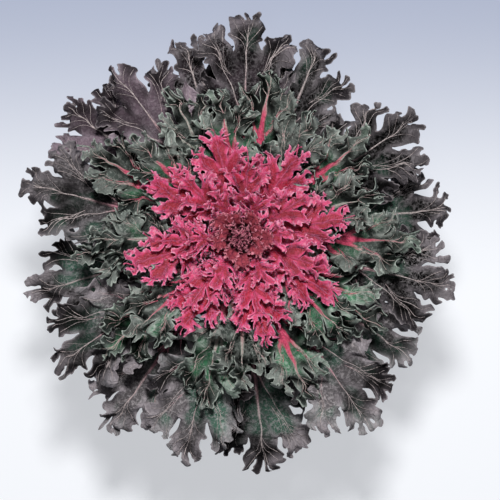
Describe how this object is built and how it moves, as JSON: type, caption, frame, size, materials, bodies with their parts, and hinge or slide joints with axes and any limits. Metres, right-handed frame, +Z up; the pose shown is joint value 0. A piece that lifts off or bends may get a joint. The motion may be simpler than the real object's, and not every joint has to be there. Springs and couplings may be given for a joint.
{
  "type": "ornamental kale plant",
  "caption": "Potted ornamental kale: a flat rosette of frilled, deeply lobed leaves, dark outside, green between and bright pink inside, on a short stem in a nursery pot.",
  "frame": {"origin": "centre of the pot's underside, on the axis of pot and stem, in the plane that it stands on", "axes": "+Z up along the stem; +Y and +X in the plane of the rosette, with the widest spread along Y"},
  "size_m": [0.3481, 0.3717, 0.2228],
  "materials": {
    "dark_leaf": "matt waxy leaf, dark grey-purple with paler veins and margins",
    "green_leaf": "matt waxy leaf, grey-green with pink midribs",
    "pink_leaf": "soft satin leaf, bright pink with darker folds",
    "heart_leaf": "soft satin leaf, dark red",
    "stem": "dull woody stem with leaf scars",
    "soil": "crumbly dark potting compost",
    "pot": "satin moulded black plastic"
  },
  "bodies": {
    "root": {"pot": "pot", "soil": "soil", "stem": "stem", "outer_low_leaf_01": "dark_leaf", "outer_low_leaf_02": "dark_leaf", "outer_low_leaf_03": "dark_leaf", "outer_low_leaf_04": "dark_leaf", "outer_low_leaf_05": "dark_leaf", "outer_low_leaf_06": "dark_leaf", "outer_low_leaf_07": "dark_leaf", "outer_low_leaf_08": "dark_leaf", "outer_high_leaf_01": "dark_leaf", "outer_high_leaf_02": "dark_leaf", "outer_high_leaf_03": "dark_leaf", "outer_high_leaf_04": "dark_leaf", "outer_high_leaf_05": "dark_leaf", "outer_high_leaf_06": "dark_leaf", "outer_high_leaf_07": "dark_leaf", "outer_high_leaf_08": "dark_leaf", "middle_low_leaf_01": "green_leaf", "middle_low_leaf_02": "green_leaf", "middle_low_leaf_03": "green_leaf", "middle_low_leaf_04": "green_leaf", "middle_low_leaf_05": "green_leaf", "middle_low_leaf_06": "green_leaf", "middle_low_leaf_07": "green_leaf", "middle_low_leaf_08": "green_leaf", "middle_low_leaf_09": "green_leaf", "middle_low_leaf_10": "green_leaf", "middle_high_leaf_01": "green_leaf", "middle_high_leaf_02": "green_leaf", "middle_high_leaf_03": "green_leaf", "middle_high_leaf_04": "green_leaf", "middle_high_leaf_05": "green_leaf", "middle_high_leaf_06": "green_leaf", "middle_high_leaf_07": "green_leaf", "middle_high_leaf_08": "green_leaf", "pink_outer_leaf_01": "pink_leaf", "pink_outer_leaf_02": "pink_leaf", "pink_outer_leaf_03": "pink_leaf", "pink_outer_leaf_04": "pink_leaf", "pink_outer_leaf_05": "pink_leaf", "pink_outer_leaf_06": "pink_leaf", "pink_outer_leaf_07": "pink_leaf", "pink_outer_leaf_08": "pink_leaf", "pink_middle_leaf_01": "pink_leaf", "pink_middle_leaf_02": "pink_leaf", "pink_middle_leaf_03": "pink_leaf", "pink_middle_leaf_04": "pink_leaf", "pink_middle_leaf_05": "pink_leaf", "pink_middle_leaf_06": "pink_leaf", "pink_middle_leaf_07": "pink_leaf", "pink_inner_leaf_01": "pink_leaf", "pink_inner_leaf_02": "pink_leaf", "pink_inner_leaf_03": "pink_leaf", "pink_inner_leaf_04": "pink_leaf", "pink_inner_leaf_05": "pink_leaf", "pink_inner_leaf_06": "pink_leaf", "heart": "heart_leaf"}
  },
  "joints": []
}
